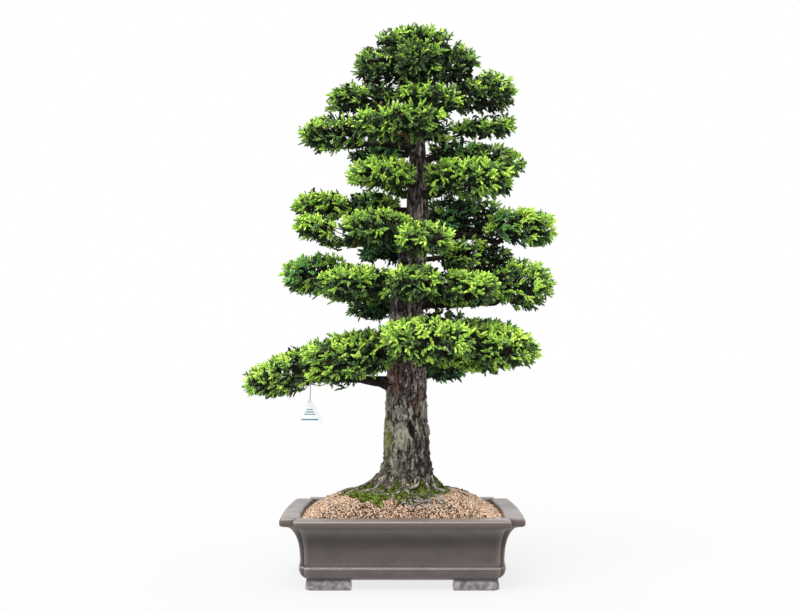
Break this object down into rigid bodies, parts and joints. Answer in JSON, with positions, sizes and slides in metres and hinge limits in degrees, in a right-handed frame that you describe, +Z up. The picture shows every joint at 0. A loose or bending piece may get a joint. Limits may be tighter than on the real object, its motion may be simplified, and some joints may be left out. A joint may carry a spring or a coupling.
{
  "type": "potted cryptomeria bonsai",
  "caption": "Cryptomeria bonsai: a straight tapering trunk with clipped tiers of needle foliage and a domed apex, in a rectangular footed ceramic pot.",
  "frame": {"origin": "on the ground under the pot, at the middle of its footprint", "axes": "+Z up along the trunk, +X along the pot's long side to the viewer's right, -Y the tree's front"},
  "size_m": [0.5412, 0.4086, 0.9449],
  "materials": {
    "pot_ceramic": "satin unglazed stoneware",
    "soil_granules": "matte granules",
    "bark": "rough fissured bark",
    "needles": "matte needles",
    "card": "smooth"
  },
  "bodies": {
    "root": {"bough_fifth_left": "bark", "bough_fifth_right": "bark", "bough_fifth_right_low": "bark", "bough_fourth_right": "bark", "bough_fourth_right_front": "bark", "bough_low_left_tip": "bark", "bough_low_right": "bark", "bough_low_right_back": "bark", "bough_second_left": "bark", "bough_second_right": "bark", "bough_third_left": "bark", "bough_third_left_tip": "bark", "bough_third_right": "bark", "hang_tag": "card", "mass_apex_back": "needles", "mass_apex_crest": "needles", "mass_apex_front": "needles", "mass_apex_left": "needles", "mass_apex_right": "needles", "mass_fifth_back": "needles", "mass_fifth_front": "needles", "mass_fifth_front_up": "needles", "mass_fifth_left": "needles", "mass_fifth_left_up": "needles", "mass_fifth_right": "needles", "mass_fifth_right_low": "needles", "mass_fourth_back": "needles", "mass_fourth_left": "needles", "mass_fourth_left_up": "needles", "mass_fourth_right": "needles", "mass_fourth_right_front": "needles", "mass_low_back": "needles", "mass_low_front": "needles", "mass_low_left": "needles", "mass_low_left_back": "needles", "mass_low_left_tip": "needles", "mass_low_right": "needles", "mass_low_right_back": "needles", "mass_low_right_under": "needles", "mass_second_back": "needles", "mass_second_front": "needles", "mass_second_left": "needles", "mass_second_left_back": "needles", "mass_second_left_front": "needles", "mass_second_left_low": "needles", "mass_second_right": "needles", "mass_second_right_front": "needles", "mass_second_right_up": "needles", "mass_third_back": "needles", "mass_third_front": "needles", "mass_third_left": "needles", "mass_third_left_front": "needles", "mass_third_left_in": "needles", "mass_third_left_low": "needles", "mass_third_left_tip": "needles", "mass_third_right": "needles", "mass_third_right_in": "needles", "pot": "pot_ceramic", "soil": "soil_granules", "trunk": "bark"}
  },
  "joints": []
}
